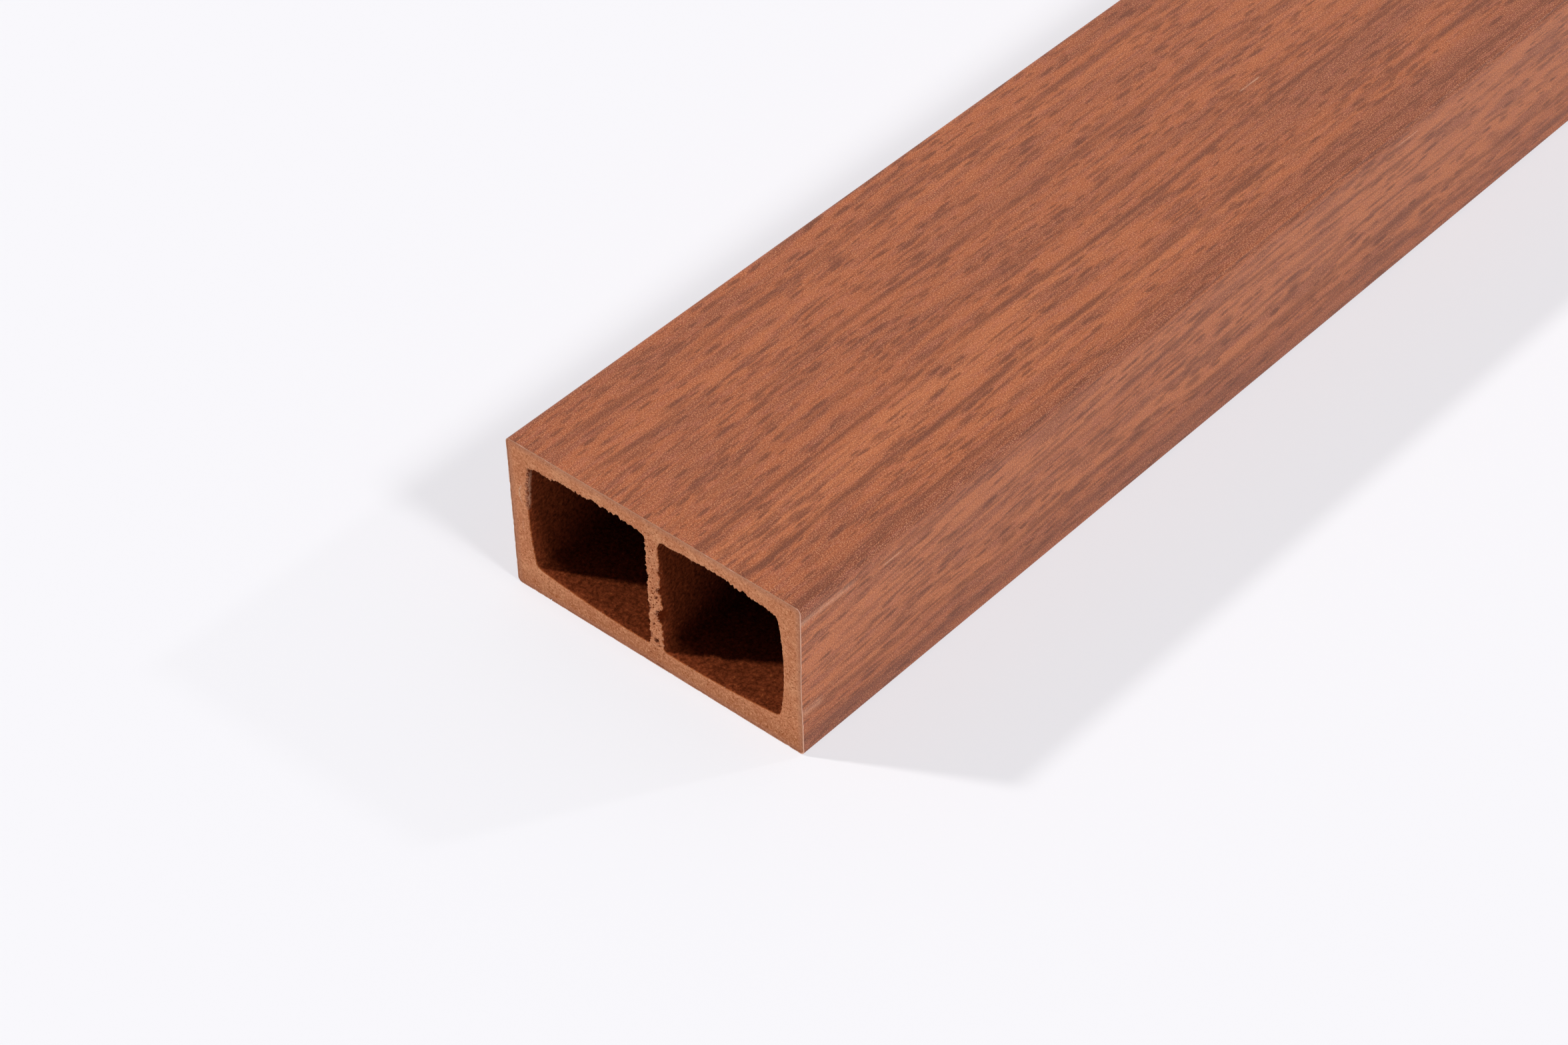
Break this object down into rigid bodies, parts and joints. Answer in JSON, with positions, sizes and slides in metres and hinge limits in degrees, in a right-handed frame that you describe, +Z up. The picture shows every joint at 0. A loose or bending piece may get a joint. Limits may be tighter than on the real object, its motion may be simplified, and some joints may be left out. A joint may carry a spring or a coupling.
{
  "type": "composite timber tube",
  "caption": "Straight hollow rectangular tube of foamed wood-plastic composite with a central web, wrapped in printed wood-grain film and sawn square at both ends.",
  "frame": {"origin": "middle of the underside, half way along the length, on the floor that the tube lies on", "axes": "+Y along the length, away from the end that the picture shows; +X across the width; +Z up, from the lower wide face to the upper one"},
  "size_m": [0.1, 2.9, 0.05],
  "materials": {
    "foamed_composite": "matte",
    "printed_film": "satin"
  },
  "bodies": {
    "root": {"extruded_tube": "foamed_composite", "wood_grain_film": "printed_film"}
  },
  "joints": []
}
